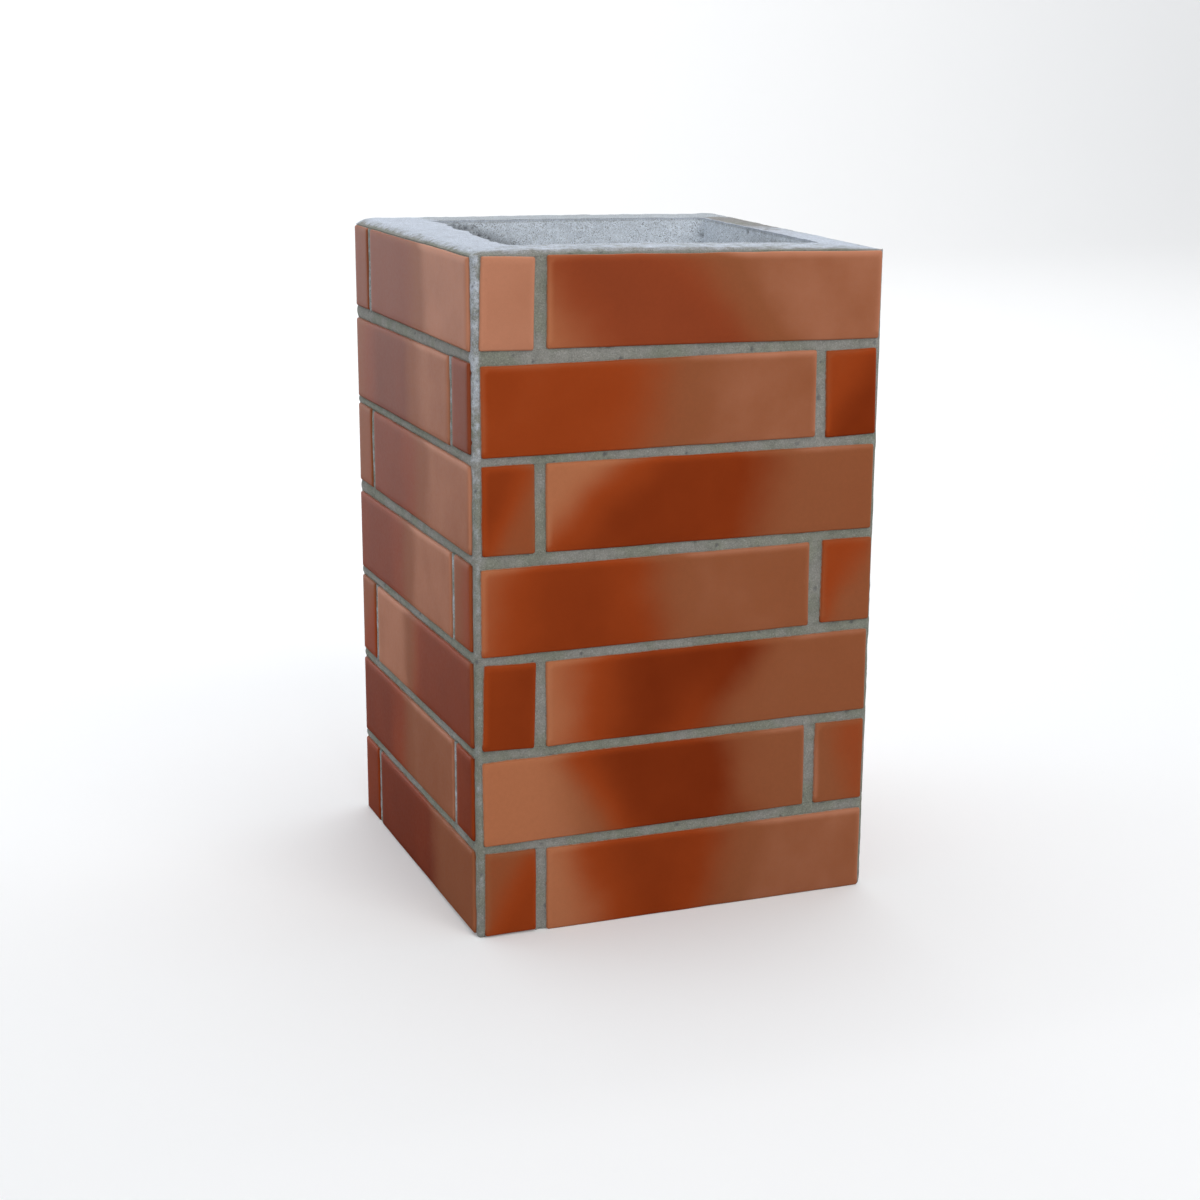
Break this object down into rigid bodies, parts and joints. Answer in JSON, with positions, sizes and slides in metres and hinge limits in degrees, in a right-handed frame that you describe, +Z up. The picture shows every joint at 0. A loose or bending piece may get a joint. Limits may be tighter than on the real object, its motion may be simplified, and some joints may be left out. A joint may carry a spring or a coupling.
{
  "type": "brick-faced concrete flue block",
  "caption": "Square concrete chimney casing block, open right through for a flue liner, faced on all sides with thin clinker slips in recessed grey joints.",
  "frame": {"origin": "middle of the foot, on the plane that the block stands on", "axes": "+Z up along the flue shaft, front face towards -Y, right face towards +X"},
  "size_m": [0.32, 0.32, 0.5017],
  "materials": {
    "concrete": "matte",
    "clinker": "satin"
  },
  "bodies": {
    "root": {"casing": "concrete", "front_course_1_closer": "clinker", "front_course_1_stretcher": "clinker", "front_course_2_stretcher": "clinker", "front_course_2_closer": "clinker", "front_course_3_closer": "clinker", "front_course_3_stretcher": "clinker", "front_course_4_stretcher": "clinker", "front_course_4_closer": "clinker", "front_course_5_closer": "clinker", "front_course_5_stretcher": "clinker", "front_course_6_stretcher": "clinker", "front_course_6_closer": "clinker", "front_course_7_closer": "clinker", "front_course_7_stretcher": "clinker", "right_course_1_closer": "clinker", "right_course_1_stretcher": "clinker", "right_course_2_stretcher": "clinker", "right_course_2_closer": "clinker", "right_course_3_closer": "clinker", "right_course_3_stretcher": "clinker", "right_course_4_stretcher": "clinker", "right_course_4_closer": "clinker", "right_course_5_closer": "clinker", "right_course_5_stretcher": "clinker", "right_course_6_stretcher": "clinker", "right_course_6_closer": "clinker", "right_course_7_closer": "clinker", "right_course_7_stretcher": "clinker", "back_course_1_closer": "clinker", "back_course_1_stretcher": "clinker", "back_course_2_stretcher": "clinker", "back_course_2_closer": "clinker", "back_course_3_closer": "clinker", "back_course_3_stretcher": "clinker", "back_course_4_stretcher": "clinker", "back_course_4_closer": "clinker", "back_course_5_closer": "clinker", "back_course_5_stretcher": "clinker", "back_course_6_stretcher": "clinker", "back_course_6_closer": "clinker", "back_course_7_closer": "clinker", "back_course_7_stretcher": "clinker", "left_course_1_closer": "clinker", "left_course_1_stretcher": "clinker", "left_course_2_stretcher": "clinker", "left_course_2_closer": "clinker", "left_course_3_closer": "clinker", "left_course_3_stretcher": "clinker", "left_course_4_stretcher": "clinker", "left_course_4_closer": "clinker", "left_course_5_closer": "clinker", "left_course_5_stretcher": "clinker", "left_course_6_stretcher": "clinker", "left_course_6_closer": "clinker", "left_course_7_closer": "clinker", "left_course_7_stretcher": "clinker"}
  },
  "joints": []
}
